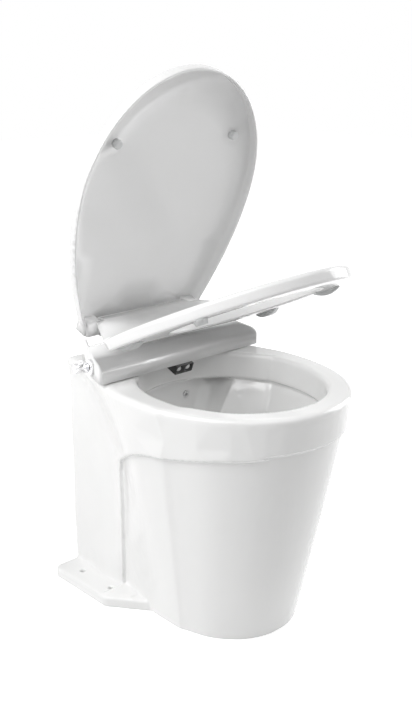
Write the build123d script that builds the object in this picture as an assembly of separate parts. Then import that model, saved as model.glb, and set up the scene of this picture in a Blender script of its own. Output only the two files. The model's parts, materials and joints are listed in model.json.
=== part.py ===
from build123d import *
import math
import os

# Electric macerating toilet with a bidet seat base, a seat and a lid.
# Millimetres. +Z is up, the front faces -Y, and the floor is z = 0.
# The origin is the middle of the four floor bolts, on the floor.

# Driving sizes of the china
rim_height = 398.0
rim_half_width = 180.0
rim_reach = 224.0
rim_widest_y = -167.3
foot_half_width = 115.0
foot_reach = 142.0
foot_widest_y = -163.5
skirt_half_width = 179.0
skirt_reach = 225.0
panel_step = 7.0
band_height = 315.0
tail_half_width = 114.0
tower_rear_y = 87.0
blend_at_floor = 150.0
blend_at_rim = 317.0
blend_power = 7
china_wall = 12.0
deck_thickness = 14.0
rim_edge_radius = 8.0
mouth_radius = 6.0
mouth_sweep = math.radians(80)
mouth_slope = math.radians(10)
overrun = 2.0
touch_gap = 0.3

# Soft line between the raised skin and the bowl panel, in side view
groove_foot_y = -47.0
groove_top_y = -60.0
groove_top_z = 236.0
band_line_front_y = -392.0
band_line_front_z = 341.0

# Band line from the groove's top to the nose, as shares of its length and of its rise
band_line_length_shares = (0.01, 0.03, 0.09, 0.24, 0.306, 0.485, 0.62, 0.733, 0.89, 1)
band_line_rise_shares = (0.08, 0.19, 0.33, 0.595, 0.685, 0.79, 0.85, 0.905, 0.962, 1)

# Foot flange and floor bolts
flange_half_width = 163.0
flange_thickness = 18.0
flange_front_y = -58.0
flange_toe_y = -125.0
flange_toe_x = 113.0
flange_root_x = 96.0
flange_rear_radius = 14.0
flange_front_radius = 26.0
flange_edge_radius = 4.0
bolt_half_spacing_x = 134.6
bolt_half_spacing_y = 40.0
floor_hole_radius = 4.5
pad_inset = 6.0
pad_rear_y = -47.0
pad_front_y = -90.0
pad_inner_x = 106.0
pad_corner_radius = 9.0
pad_height = 2.5

# Basin
opening_half_width = 140.6
opening_front = 164.3
opening_rear = 152.0
opening_y = -187.3
lip_half_width = 136.3
lip_front = 158.3
lip_rear = 148.2
lip_z = 355.0
under_lip_z = 350.0
undercut = 7.0
basin_wall = 11.0
sump_z = 105.0
sump_radius = 30.0
chute_front_y = -110.0
chute_half_width = 112.0
chute_rear_y = -34.0
chute_waist_z = 299.0
chute_waist_half_width = 76.0
chute_waist_rear_y = -46.0
chute_low_half_width = 34.0
chute_low_front_y = -130.0
chute_low_rear_y = -90.0
chute_top_radius = 34.0
chute_waist_radius = 28.0
chute_low_radius = 16.0
widest_share = 0.516

# Shares of the basin's depth, and at each the shares of its width and of its length
basin_depth_shares = (0, 0.18, 0.37, 0.55, 0.73, 0.9, 1)
basin_width_shares = (1, 0.84, 0.69, 0.53, 0.385, 0.28, 0.21)
basin_front_shares = (0, 0.108, 0.226, 0.35, 0.45, 0.523, 0.563)
basin_rear_shares = (1, 0.898, 0.85, 0.813, 0.785, 0.754, 0.732)

# Rear of the china
bulkhead_front_y = -62.0
bulkhead_rear_y = -50.0
bulkhead_low_z = 40.0
bulkhead_top_z = 180.0
service_half_width = 97.0
service_height = 352.0
service_corner_radius = 24.0

# Seat hinge
hinge_y = 24.7
hinge_z = 457.5
seat_open_now = 24.4
lid_open_now = 69.9

# Seat base
base_bottom_z = 400.0
base_front_y = -83.0
base_rear_y = 60.0
base_front_half_width = 174.0
base_mid_half_width = 146.5
base_rear_half_width = 104.0
base_wall = 3.5
cheek_thickness = 5.0
fold_y = -79.0
fold_z = 418.5
crest_y = -22.0
crest_z = 444.0
valley_y = 2.0
valley_z = 435.0
deck_z = 426.0
tail_z = 417.0
cheek_nose_y = -71.0
cheek_nose_z = 428.0
cheek_crest_y = -40.0
cheek_crest_z = 435.5
cheek_top_y = 8.0
cheek_top_z = 448.0
cheek_back_y = 20.5
cheek_back_z = 441.5
cheek_tail_y = 23.5
cheek_tail_z = 426.0
cheek_radius = 6.0
base_edge_radius = 5.0
tray_thickness = 3.0
pad_strip_length = 34.0
pad_strip_width = 18.0
pad_strip_x = 146.0
pad_strip_y = -48.0

# Fixing of the seat base
plate_half_width = 96.0
plate_front_y = 8.0
plate_rear_y = 43.5
plate_thickness = 2.0
plate_corner_radius = 6.0
seat_bolt_x = 77.5
seat_bolt_y = 30.0
seat_bolt_radius = 4.0
seat_bolt_length = 62.0
seat_bolt_head_radius = 7.5
seat_bolt_head_height = 5.0
deck_hole_radius = 7.0
washer_radius = 12.0
washer_thickness = 3.0
wing_nut_radius = 9.0
wing_nut_height = 14.0
wing_span = 34.0
wing_thickness = 4.0
bolt_clearance = 0.05
plate_slot_clearance = 0.4

# Hinge posts, dampers and shafts
post_radius = 12.0
post_inner_x = 38.0
post_outer_x = 84.0
post_reach = 19.5
post_foot_reach = 31.3
post_front_y = 3.0
post_front_angle = 39.0
post_rear_angle = 74.0
post_heel_angle = 96.0
damper_radius = 9.0
damper_inner_x = 42.0
damper_depth = 24.0
shaft_radius = 4.5
shaft_end_x = 117.0
running_gap = 0.05

# Seat
seat_half_width = 175.4
seat_length = 429.6
seat_widest = 171.0
seat_hinge_half_width = 123.0
seat_bottom = -51.5
seat_thickness = 20.5
seat_hole_centre = 250.0
seat_hole_half_width = 121.0
seat_hole_half_length = 122.0
seat_end_low = 114.5
seat_fold = 102.5
riser_thickness = 5.2
riser_side = 165.0
riser_waist = 128.0
riser_waist_at = 46.0
riser_neck = 112.0
riser_neck_at = 24.0
barrel_half_width = 92.0
barrel_radius = 16.0
barrel_wall = 3.0
lug_inner_x = 85.0
seat_top_radius = 7.0
seat_low_radius = 4.0
barrel_front_angle = -30.0
barrel_rear_angle = 110.0

# Seat bumpers
seat_bumper_height = 7.7
seat_bumper_length = 44.0
seat_bumper_width = 17.0
rear_bumper_at = 144.0
rear_bumper_x = 148.0
rear_bumper_turn = 5.0
front_bumper_at = 298.0
front_bumper_x = 134.0
front_bumper_turn = 34.0

# Lid
lid_half_width = 180.0
lid_length = 438.0
lid_widest = 229.0
lid_hinge_half_width = 121.0
lid_side_power = 0.9
lid_depth = 18.0
lid_rear_depth = 21.0
lid_wall = 4.0
lid_crown = 5.0
lid_top_radius = 9.0
ear_radius = 13.0
ear_inner_x = 95.0
ear_outer_x = 119.0
lid_barrel_gap = 21.0
lid_tilt_closed = 6.45
lid_bumper_x = 119.5
lid_bumper_at = 318.0
lid_bumper_radius = 7.5
lid_bumper_height = 9.5

# Wash nozzles and their guide
nozzle_x = 9.5
nozzle_tip_y = -80.0
nozzle_tip_z = 390.0
nozzle_angle = 22.0
nozzle_radius = 5.5
nozzle_bore = 2.0
nozzle_length = 77.0
nozzle_hole_radius = 0.8
nozzle_hole_at = 7.0
piston_radius = 7.0
piston_length = 5.0
guide_front = -1.5
guide_length = 85.5
guide_collar = 21.5
guide_mouth_radius = 7.4
guide_mouth_depth = 6.0
guide_half_width = 19.0
guide_half_height = 8.5
guide_cap = 4.0
guide_port_length = 6.0
guide_port_radius = 2.2
guide_port_bore = 1.2
spring_wire = 0.9
spring_radius = 6.3
spring_turns = 9

# Wash valve
valve_y = -43.0
valve_z = 418.0
valve_hole_radius = 7.0
valve_body_radius = 5.5
valve_body_length = 24.0
valve_neck_radius = 5.0
cartridge_radius = 4.0
cartridge_length = 14.0
escutcheon_radius = 13.5
escutcheon_thickness = 5.0
escutcheon_lip = 2.0
knob_radius = 8.2
knob_length = 23.0
knob_edge_radius = 2.0
knob_gap = 0.6
lever_width = 5.5
lever_length = 10.0
lever_thickness = 7.0
valve_port_radius = 3.5
valve_port_bore = 2.0
valve_port_length = 10.0
valve_port_step = 3.1
wash_hose_radius = 2.2
wash_hose_bore = 1.4
wash_hose_bend = 8.0
supply_hose_radius = 4.0
supply_hose_bore = 2.6
supply_hose_bend = 9.5
supply_hose_gap = 2.5

# Macerator pump
pump_z = 105.0
gasket_radius = 44.0
gasket_bore = 31.0
gasket_thickness = 3.0
housing_flange_radius = 64.0
housing_flange_thickness = 6.0
pump_bolt_circle = 56.0
pump_bolt_radius = 3.5
pump_bolt_head_radius = 6.0
pump_bolt_head_height = 5.0
pump_nut_height = 5.0
pump_hole_radius = 4.0
housing_radius = 46.0
housing_bore = 40.0
housing_front_wall = 4.0
housing_depth = 34.0
back_plate_thickness = 10.0
seal_radius = 9.0
seal_depth = 8.0
pump_shaft_radius = 4.0
blade_length = 37.0
blade_width = 12.0
blade_thickness = 3.0
blade_at = 11.0
wear_plate_at = 18.0
wear_plate_thickness = 3.0
wear_plate_bore = 6.0
wear_hole_radius = 6.5
wear_hole_circle = 25.0
wear_hole_count = 8
impeller_at = 23.5
impeller_hub_radius = 9.0
impeller_radius = 36.0
impeller_height = 8.0
vane_count = 6
vane_thickness = 3.0
motor_radius = 34.0
motor_wall = 3.0
motor_length = 69.0
motor_cap_length = 8.0
bearing_radius = 11.0
bearing_length = 8.0
bearing_seat_wall = 5.0
armature_radius = 21.0
armature_margin = 14.0
armature_slots = 10
armature_slot_width = 3.0
armature_slot_depth = 5.0
magnet_inner_radius = 24.0
magnet_margin = 12.0
magnet_half_gap = 12.0
cradle_half_width = 30.0
cradle_ear_x = 44.0
cradle_front_y = 15.0
cradle_rear_y = 55.0
cradle_low_z = 12.0
cradle_ear_z = 86.0
cradle_ear_thickness = 8.0
foot_inset = 4.0
strap_thickness = 1.5
strap_inset = 12.0
strap_screw_radius = 2.5

# Waste outlet
spigot_radius = 17.0
spigot_bore = 12.0
spigot_end_x = -56.0
outlet_y = -30.0
flange_flat_x = 55.0
elbow_radius = 16.0
elbow_bore = 13.0
elbow_bend = 18.0
tail_radius = 19.0
tail_start_y = 60.0
tail_end_y = 105.0
joker_start_y = 8.0
joker_length = 32.0
joker_tip_radius = 5.0
joker_wall = 2.0

# Electric rinse valve
bracket_thickness = 2.0
bracket_inner_x = 56.0
bracket_outer_x = 95.0
bracket_front_y = 14.0
bracket_rear_y = 52.0
bracket_low_z = 306.0
bracket_window = 10.0
valve_block_x = 30.0
valve_block_y = 30.0
valve_block_low_z = 316.0
valve_block_top_z = 342.0
rinse_x = 41.0
rinse_y = 33.0
inlet_z = 336.0
outlet_z = 324.0
seat_z = 331.0
inlet_radius = 8.0
inlet_bore = 3.5
outlet_radius = 6.0
outlet_bore = 3.0
inlet_end_y = 60.0
outlet_end_y = 4.0
coil_radius = 14.0
coil_top_z = 376.0
coil_collar_height = 3.0
core_roof = 2.0
plunger_radius = 5.0
plunger_length = 27.0
plunger_spring_radius = 3.6
plunger_spring_turns = 6
tee_half = 10.0
tee_rear_y = 80.0
inlet_tail_radius = 9.5
inlet_tail_length = 24.0
branch_radius = 5.0
branch_length = 10.0
jet_radius = 6.0
jet_front_y = -41.0
jet_rear_y = -18.0
jet_nose_radius = 4.5
rinse_hose_radius = 8.5
supply_hole_radius = 5.0
supply_hole_y = 49.5

# Electrical connection
box_half_x = 15.0
box_front_y = 20.0
box_rear_y = 50.0
box_height = 20.0
box_wall = 2.0
gland_radius = 7.0
gland_bore = 3.5
gland_length = 16.0
lead_radius = 2.5
lead_bend = 14.0
lead_socket = 3.0

FROM_BASE = (Align.CENTER, Align.CENTER, Align.MIN)
forward = Vector(0, -1, 0)
backward = Vector(0, 1, 0)
sideways = Vector(1, 0, 0)
upward = Vector(0, 0, 1)


def shares(count):
    """Even shares from 0 to 1."""
    return [step / count for step in range(count + 1)]


def mix(low, high, share):
    return low + (high - low) * share


def rod(start, along, length, radius):
    """Solid cylinder that starts at a point and runs along a direction."""
    return Plane(origin=start, z_dir=along) * Cylinder(radius, length, align=FROM_BASE)


def pipe(start, along, length, radius, bore):
    return rod(start, along, length, radius) - rod(start, along, length, bore)


def slab(low, high):
    """Box between two corners."""
    sizes = [high[i] - low[i] for i in range(3)]
    middle = [(high[i] + low[i]) / 2 for i in range(3)]
    return Pos(*middle) * Box(*sizes)


def prism_x(points, low_x, high_x):
    """Side-view outline of (y, z) points, extruded from low_x to high_x."""
    face = make_face(Plane.YZ.offset(low_x) * Polyline(points, close=True))
    return extrude(face, high_x - low_x, dir=(1, 0, 0))


def both_sides(shape):
    return shape + mirror(shape, about=Plane.YZ)


def tube_along(points, radii, radius, bore):
    """Hose of straight runs and tangent arcs through the points."""
    path = FilletPolyline(*points, radius=radii)
    start = path.position_at(0)
    section = Plane(origin=start, z_dir=path.tangent_at(0)) * (Circle(radius) - Circle(bore))
    return sweep(section, path=path)


def coil(radius, wire, height, turns, place):
    """Open helical spring whose ends lie inside the given height."""
    climb = height - 2 * wire
    helix = Helix(pitch=climb / turns, height=climb, radius=radius)
    start = helix.position_at(0)
    section = Plane(origin=start, z_dir=helix.tangent_at(0)) * Circle(wire)
    return place * Pos(0, 0, wire) * sweep(section, path=helix, is_frenet=True)


# China: outline of the body at one height

def side_half_width(y, half_width, widest_y, tail, blend):
    """Half-width behind the widest line, easing down to the tail."""
    share = min(max((y - widest_y) / blend, 0), 1)
    return tail + (half_width - tail) * (1 - (3 * share**2 - 2 * share**3))


def front_curve(half_width, reach, widest_y, z, power_share=2 / 2.1):
    """Rounded front, from the right side round the nose to the left side."""
    points = []
    for share in shares(12):
        angle = math.pi * share
        across = math.copysign(abs(math.cos(angle)) ** power_share, math.cos(angle))
        along = math.sin(angle) ** power_share if 0 < share < 1 else 0
        points.append(Vector(half_width * across, widest_y - reach * along, z))
    return Edge.make_spline(points, tangents=[forward, backward])


def body_outline(z, half_width, reach, widest_y, tail, rear_y):
    blend = mix(blend_at_floor, blend_at_rim, (z / rim_height) ** blend_power)
    places = [mix(widest_y, rear_y, share) for share in shares(6)]
    widths = [side_half_width(y, half_width, widest_y, tail, blend) for y in places]
    left = [Vector(-w, y, z) for w, y in zip(widths, places)]
    right = [Vector(w, y, z) for w, y in reversed(list(zip(widths, places)))]
    edges = [
        front_curve(half_width, reach, widest_y, z),
        Edge.make_spline(left, tangents=[backward, left[-1] - left[-2]]),
        Edge.make_line(left[-1], right[0]),
        Edge.make_spline(right, tangents=[right[1] - right[0], forward]),
    ]
    return Face(Wire(edges))


def skirt_section(z, grow, tail, rear_y):
    """Lower bowl at one height, grown or shrunk by a distance."""
    share = z / rim_height
    half_width = mix(foot_half_width, skirt_half_width, share) + grow
    reach = mix(foot_reach, skirt_reach, share) + grow
    widest_y = mix(foot_widest_y, rim_widest_y, share)
    return body_outline(z, half_width, reach, widest_y, tail, rear_y)


def skin_section(z):
    """Raised skin: the tower's side below the band, the rim band above it."""
    if z <= band_height:
        return skirt_section(z, panel_step, tail_half_width, tower_rear_y)
    foot_share = band_height / rim_height
    low_half = mix(foot_half_width, skirt_half_width, foot_share) + panel_step
    low_reach = mix(foot_reach, skirt_reach, foot_share) + panel_step
    low_y = mix(foot_widest_y, rim_widest_y, foot_share)
    share = (z - band_height) / (rim_height - band_height)
    half_width = mix(low_half, rim_half_width, share)
    reach = mix(low_reach, rim_reach, share)
    widest_y = mix(low_y, rim_widest_y, share)
    return body_outline(z, half_width, reach, widest_y, tail_half_width, tower_rear_y)


def raised_region():
    """Side-view region above the band line and behind the groove."""
    far = rim_reach + tail_half_width + abs(rim_widest_y)
    top = rim_height + rim_half_width
    line = [(groove_top_y, groove_top_z)]
    for along, up in zip(band_line_length_shares, band_line_rise_shares):
        line.append((mix(groove_top_y, band_line_front_y, along),
                     mix(groove_top_z, band_line_front_z, up)))
    rise = (groove_top_y - groove_foot_y, groove_top_z + panel_step)
    plane = Plane.YZ.offset(-far)
    band = Spline(*line, tangents=[rise, (-1, 0)])
    edges = [
        Line((groove_foot_y, -panel_step), band @ 0),
        band,
        Line(band @ 1, (-far, band_line_front_z)),
        Polyline((-far, band_line_front_z), (-far, top), (far, top), (far, -panel_step),
                 (groove_foot_y, -panel_step)),
    ]
    return extrude(plane * make_face(edges), 2 * far, dir=(1, 0, 0))


def flange():
    """Left foot flange with its raised front pad."""
    points = [
        (-flange_root_x, tower_rear_y),
        (-flange_half_width, tower_rear_y),
        (-flange_half_width, flange_front_y),
        (-flange_toe_x, flange_toe_y),
        (-flange_root_x, flange_toe_y),
    ]
    face = make_face(Polyline(points, close=True))
    rear = face.vertices().sort_by_distance((-flange_half_width, tower_rear_y, 0))[0]
    face = fillet(rear, flange_rear_radius)
    front = face.vertices().sort_by_distance((-flange_half_width, flange_front_y, 0))[0]
    face = fillet(front, flange_front_radius)
    block = extrude(face, flange_thickness)
    outer = block.faces().sort_by(Axis.Z)[-1].edges().filter_by(
        lambda edge: edge.center().X < -flange_root_x - flange_edge_radius
        and edge.center().Y > flange_toe_y + flange_edge_radius
    )
    block = fillet(outer, flange_edge_radius)
    return block + flange_pad()


def flange_pad():
    """Raised pad on the flange's front corner, drawn in from its edges."""
    run = (flange_half_width - flange_toe_x, flange_toe_y - flange_front_y)
    slant = math.hypot(*run)
    outer_x = flange_half_width - pad_inset
    shift = pad_inset * (slant - abs(run[1])) / run[0]
    corner_y = flange_front_y + shift
    front_x = outer_x + run[0] / run[1] * (corner_y - pad_front_y)
    points = [
        (-outer_x, pad_rear_y),
        (-outer_x, corner_y),
        (-front_x, pad_front_y),
        (-pad_inner_x, pad_front_y),
        (-pad_inner_x, pad_rear_y),
    ]
    face = make_face(Polyline(points, close=True))
    for (x, y), radius in zip(points, (pad_height, pad_corner_radius, pad_corner_radius)):
        corner = face.vertices().sort_by_distance((x, y, 0))[0]
        face = fillet(corner, radius)
    return Pos(0, 0, flange_thickness) * extrude(face, pad_height, taper=30)


# China: basin

def oval(z, half_width, front_y, rear_y):
    """Closed oval between a front and a rear line, widest a little behind its middle."""
    middle_y = mix(front_y, rear_y, widest_share)
    points = {}
    for name, reach in (("front", front_y - middle_y), ("rear", rear_y - middle_y)):
        points[name] = [
            Vector(
                half_width * math.cos(math.pi * share),
                middle_y + reach * math.sin(math.pi * share),
                z,
            )
            for share in shares(10)
        ]
    nose = Edge.make_spline(points["front"], tangents=[forward, backward])
    heel = Edge.make_spline(points["rear"][::-1], tangents=[backward, forward])
    return Face(Wire([nose, heel]))


def dish(grow):
    """Main scoop of the basin, grown outwards by a wall."""
    depth = under_lip_z - (sump_z - sump_radius)
    front_y = opening_y - lip_front - undercut
    rear_y = opening_y + lip_rear + undercut
    sections = []
    rows = zip(basin_depth_shares, basin_width_shares, basin_front_shares, basin_rear_shares)
    for down, wide, fore, aft in rows:
        sections.append(oval(
            under_lip_z - down * (depth + grow),
            (lip_half_width + undercut) * wide + grow,
            mix(front_y, rear_y, fore) - grow,
            mix(front_y, rear_y, aft) + grow,
        ))
    return loft(sections)


def chute_section(z, half_width, front_y, rear_y, radius):
    face = Pos(0, (front_y + rear_y) / 2, z) * RectangleRounded(
        2 * half_width, rear_y - front_y, radius
    )
    return face.faces()[0]


def chute(grow):
    """Steeper rear part of the basin, behind the soft crease."""
    top = chute_section(
        under_lip_z, chute_half_width + grow, chute_front_y - grow, chute_rear_y + grow,
        chute_top_radius + grow
    )
    waist = chute_section(
        chute_waist_z, chute_waist_half_width + grow, chute_front_y - grow,
        chute_waist_rear_y + grow, chute_waist_radius + grow
    )
    low = chute_section(
        sump_z, chute_low_half_width + grow, chute_low_front_y - grow, chute_low_rear_y + grow,
        chute_low_radius + grow
    )
    return loft([low, waist, top])


def rim_well(grow):
    """Upright inner wall of the rim, above the lip."""
    top = oval(rim_height + overrun, opening_half_width + grow,
               opening_y - opening_front - grow, opening_y + opening_rear + grow)
    low = oval(lip_z, lip_half_width + grow, opening_y - lip_front - grow,
               opening_y + lip_rear + grow)
    return loft([low, top])


def mouth_flare():
    """Quarter-round between the rim's inner wall and its flat top, as a cutter."""
    sections = []
    for share in shares(5):
        angle = mouth_sweep * share
        grow = mouth_radius * (1 - math.cos(angle))
        z = rim_height - mouth_radius * (1 - math.sin(angle))
        sections.append((z, grow))
    last_z, last_grow = sections[-1]
    sections.append((rim_height + touch_gap, last_grow + touch_gap / math.tan(mouth_slope)))
    return loft([
        oval(z, opening_half_width + grow, opening_y - opening_front - grow,
             opening_y + opening_rear + grow)
        for z, grow in sections
    ])


def under_lip(grow):
    """Undercut between the lip and the basin."""
    wider = grow + undercut
    top = oval(lip_z, lip_half_width + grow, opening_y - lip_front - grow,
               opening_y + lip_rear + grow)
    low = oval(under_lip_z, lip_half_width + wider, opening_y - lip_front - wider,
               opening_y + lip_rear + wider)
    return loft([low, top])


def basin(grow):
    return dish(grow) + chute(grow) + under_lip(grow) + rim_well(grow)


def sump_passage(radius):
    length = bulkhead_rear_y - chute_low_front_y + overrun
    start = (0, bulkhead_rear_y - length, sump_z)
    return rod(start, backward, length + overrun * (radius == sump_radius), radius)


def cavity():
    """Open space under the basin and in the tower."""
    shrink = -china_wall
    inner_tail = tail_half_width - china_wall
    inner_rear = tower_rear_y - china_wall
    roof = rim_height - deck_thickness
    levels = [roof * share for share in (0, 0.2, 0.4, 0.6, 0.8, 1)]
    hollow = loft([skirt_section(z, shrink, inner_tail, inner_rear) for z in levels])
    wide = tail_half_width + rim_half_width
    bulkhead = slab((-wide, bulkhead_front_y, bulkhead_low_z),
                    (wide, bulkhead_rear_y, bulkhead_top_z))
    return hollow - basin(basin_wall) - bulkhead - sump_passage(sump_radius + basin_wall)


def service_opening():
    """Open back of the tower, for the pipes and for fitting the pump."""
    face = Plane.XZ.offset(-(tower_rear_y + overrun)) * Rectangle(
        2 * service_half_width, 2 * service_height
    )
    block = extrude(face, china_wall + 2 * overrun, dir=(0, -1, 0))
    edges = block.edges().filter_by(Axis.Y).group_by(Axis.Z)[-1]
    return fillet(edges, service_corner_radius)


def china_body():
    levels = [rim_height * share for share in (0, 0.2, 0.4, 0.6, 0.8, 1)]
    core_tail = tail_half_width - panel_step
    core_rear = tower_rear_y - overrun
    core = loft([skirt_section(z, 0, core_tail, core_rear) for z in levels])
    skin_levels = [band_height * share for share in (0, 0.25, 0.5, 0.75, 1)]
    skin_levels += [mix(band_height, rim_height, 0.5), rim_height]
    skin = loft([skin_section(z) for z in skin_levels])
    body = core + (skin & raised_region())
    body = fillet(body.faces().sort_by(Axis.Z)[-1].edges(), rim_edge_radius)
    body = body - mouth_flare()
    body = body + both_sides(flange())
    body = body - cavity() - basin(0) - sump_passage(sump_radius) - service_opening()
    reach_z = flange_thickness + pad_height + 2 * overrun
    for x in (-bolt_half_spacing_x, bolt_half_spacing_x):
        for y in (-bolt_half_spacing_y, bolt_half_spacing_y):
            body -= rod((x, y, -overrun), upward, reach_z, floor_hole_radius)
    low_deck = rim_height - deck_thickness - overrun
    for x in (-seat_bolt_x, seat_bolt_x):
        body -= rod((x, seat_bolt_y, low_deck), upward, deck_thickness + 2 * overrun,
                    deck_hole_radius)
    body -= rod((rinse_x, supply_hole_y, low_deck), upward, deck_thickness + 2 * overrun,
                supply_hole_radius)
    for x, z in pump_bolt_places():
        body -= rod((x, bulkhead_front_y - overrun, z), backward,
                    bulkhead_rear_y - bulkhead_front_y + 2 * overrun, pump_hole_radius)
    jet_hole = jet_radius + bolt_clearance
    body -= rod((rinse_x, jet_front_y, outlet_z), backward, jet_rear_y - jet_front_y, jet_hole)
    return body


# Seat base

def base_plan(inset, end_inset=None):
    """Plan outline of the seat base, drawn in by a distance, at its ends by another."""
    if end_inset is None:
        end_inset = inset
    front = base_front_y + end_inset
    rear = base_rear_y - end_inset
    corner = (base_front_half_width - inset, front)
    middle = (base_mid_half_width - inset, (front + rear) / 2)
    heel = (base_rear_half_width - inset, rear)
    right = ThreePointArc(corner, middle, heel)
    left = ThreePointArc((-heel[0], heel[1]), (-middle[0], middle[1]), (-corner[0], corner[1]))
    lines = [right, Line(right @ 1, left @ 0), left, Line(left @ 1, right @ 0)]
    return make_face(lines)


def deck_points(drop):
    """Side view of the base between its cheeks, lowered by a distance."""
    return [
        (base_front_y + drop, base_bottom_z - overrun * (drop > 0)),
        (fold_y + drop, fold_z - drop),
        (crest_y + drop / 2, crest_z - drop),
        (valley_y, valley_z - drop),
        (hinge_y, deck_z - drop),
        (base_rear_y - drop, tail_z - drop),
        (base_rear_y - drop, base_bottom_z - overrun * (drop > 0)),
    ]


def cheek_region():
    """Side view of the raised cheeks, with a rounded crest."""
    points = [
        (base_front_y, base_bottom_z),
        (base_front_y, fold_z),
        (cheek_nose_y, cheek_nose_z),
        (cheek_crest_y, cheek_crest_z),
        (cheek_top_y, cheek_top_z),
        (cheek_back_y, cheek_back_z),
        (cheek_tail_y, cheek_tail_z),
        (base_rear_y, tail_z),
        (base_rear_y, base_bottom_z),
    ]
    wide = base_front_half_width
    face = make_face(Plane.YZ.offset(-wide) * Polyline(points, close=True))
    for y, z, radius in (
        (base_front_y, fold_z, cheek_radius),
        (cheek_nose_y, cheek_nose_z, 2 * cheek_radius),
        (cheek_crest_y, cheek_crest_z, 4 * cheek_radius),
        (cheek_top_y, cheek_top_z, 2 * cheek_radius),
        (cheek_back_y, cheek_back_z, cheek_radius),
        (cheek_tail_y, cheek_tail_z, cheek_radius),
    ):
        corner = face.vertices().sort_by_distance((-wide, y, z))[0]
        face = fillet(corner, radius)
    return extrude(face, 2 * wide, dir=(1, 0, 0))


def under_hinge(reach, angle):
    """Place in the side view, at an angle below the line that runs forward from the hinge."""
    turn = math.radians(angle)
    return (hinge_y - reach * math.cos(turn), hinge_z - reach * math.sin(turn))


def hinge_post():
    """Left post that holds a damper on the hinge axis, hollowed behind for the lid's swing."""
    length = post_outer_x - post_inner_x
    barrel = rod((-post_outer_x, hinge_y, hinge_z), sideways, length, post_radius)
    core = post_radius - overrun
    elbow = under_hinge(post_reach, post_front_angle)
    side_view = [
        under_hinge(core, post_front_angle),
        elbow,
        (post_front_y, elbow[1]),
        (post_front_y, valley_z - base_wall),
        under_hinge(post_foot_reach, post_rear_angle),
        under_hinge(post_reach, post_rear_angle),
        under_hinge(post_reach, post_heel_angle),
        under_hinge(core, post_heel_angle),
    ]
    pedestal = prism_x(side_view, -post_outer_x, -post_inner_x)
    bore = rod((-post_outer_x - overrun, hinge_y, hinge_z), sideways,
               post_outer_x - damper_inner_x + overrun, damper_radius + bolt_clearance)
    return barrel + pedestal - bore


def cheek_arc():
    """Middle and radius of the arc that shapes the left cheek in plan."""
    edge = base_plan(0).edges().filter_by(GeomType.CIRCLE).sort_by(Axis.X)[0]
    return edge.arc_center, edge.radius


def cheek_x(y):
    """Outer face of the left cheek at a place along it."""
    middle, radius = cheek_arc()
    return middle.X - math.sqrt(radius**2 - (y - middle.Y) ** 2)


def valve_direction():
    """Outward normal of the left cheek where the wash valve stands."""
    middle, radius = cheek_arc()
    rise = (valve_y - middle.Y) / radius
    return Vector(-math.sqrt(1 - rise**2), rise, 0)


def valve_place(back):
    """Point on the valve's axis, a distance inwards from the cheek's outer face."""
    middle, radius = cheek_arc()
    way = valve_direction()
    return Vector(middle.X, middle.Y, valve_z) + way * (radius - back)


def seat_base():
    top = cheek_top_z + overrun
    block = extrude(Pos(0, 0, base_bottom_z) * base_plan(0), top - base_bottom_z)
    corners = block.edges().filter_by(Axis.Z)
    block = fillet(corners, base_edge_radius)
    inner = extrude(Pos(0, 0, base_bottom_z) * base_plan(cheek_thickness, -overrun),
                    top - base_bottom_z)
    wide = base_front_half_width
    mid = prism_x(deck_points(0), -wide, wide)
    cheeks = (block & cheek_region()) - inner
    body = (block & mid) + cheeks
    room = extrude(Pos(0, 0, base_bottom_z - overrun) * base_plan(base_wall), top)
    hollow = room & prism_x(deck_points(base_wall), -wide, wide)
    body = body - hollow
    body = body + both_sides(hinge_post())
    way = valve_direction()
    start = valve_place(-overrun)
    body -= rod(start, -way, cheek_thickness + 3 * overrun, valve_hole_radius)
    return body


def base_tray():
    """Floor of the base, open for the nozzles, the bolt heads and the hose."""
    inset = base_wall + touch_gap
    tray = extrude(Pos(0, 0, base_bottom_z) * base_plan(inset), tray_thickness)
    slot_half = guide_half_width + overrun
    tray -= slab((-slot_half, base_front_y, base_bottom_z - overrun),
                 (slot_half, base_front_y + guide_length, base_bottom_z + 2 * tray_thickness))
    wide = base_front_half_width
    tray = tray & prism_x(deck_points(inset), -wide, wide)
    for x in (-seat_bolt_x, seat_bolt_x):
        tray -= rod((x, seat_bolt_y, base_bottom_z - overrun), upward,
                    tray_thickness + 2 * overrun, seat_bolt_head_radius + overrun)
    tray -= rod((rinse_x, supply_hole_y, base_bottom_z - overrun), upward,
                tray_thickness + 2 * overrun, supply_hole_radius)
    return tray


def base_pads():
    place = Pos(-pad_strip_x, pad_strip_y, rim_height)
    strip = RectangleRounded(pad_strip_width, pad_strip_length, base_wall)
    return both_sides(place * extrude(strip, base_bottom_z - rim_height))


def mounting_plate():
    depth = plate_rear_y - plate_front_y
    face = RectangleRounded(2 * plate_half_width, depth, plate_corner_radius)
    plate = Pos(0, (plate_front_y + plate_rear_y) / 2, rim_height) * extrude(face, plate_thickness)
    for x in (-seat_bolt_x, seat_bolt_x):
        plate -= rod((x, seat_bolt_y, rim_height - overrun), upward,
                     plate_thickness + 2 * overrun, seat_bolt_radius + plate_slot_clearance)
    return plate


def seat_bolts():
    top = rim_height + plate_thickness
    bolt = rod((-seat_bolt_x, seat_bolt_y, top), -upward, seat_bolt_length, seat_bolt_radius)
    bolt += rod((-seat_bolt_x, seat_bolt_y, top), upward, seat_bolt_head_height,
                seat_bolt_head_radius)
    return both_sides(bolt)


def seat_bolt_washers():
    """Rubber washers; the right one sits below the valve bracket."""
    low = rim_height - deck_thickness - washer_thickness
    bore = seat_bolt_radius + bolt_clearance
    left = pipe((-seat_bolt_x, seat_bolt_y, low), upward, washer_thickness, washer_radius, bore)
    right = pipe((seat_bolt_x, seat_bolt_y, low - bracket_thickness), upward, washer_thickness,
                 washer_radius, bore)
    return left + right


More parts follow.
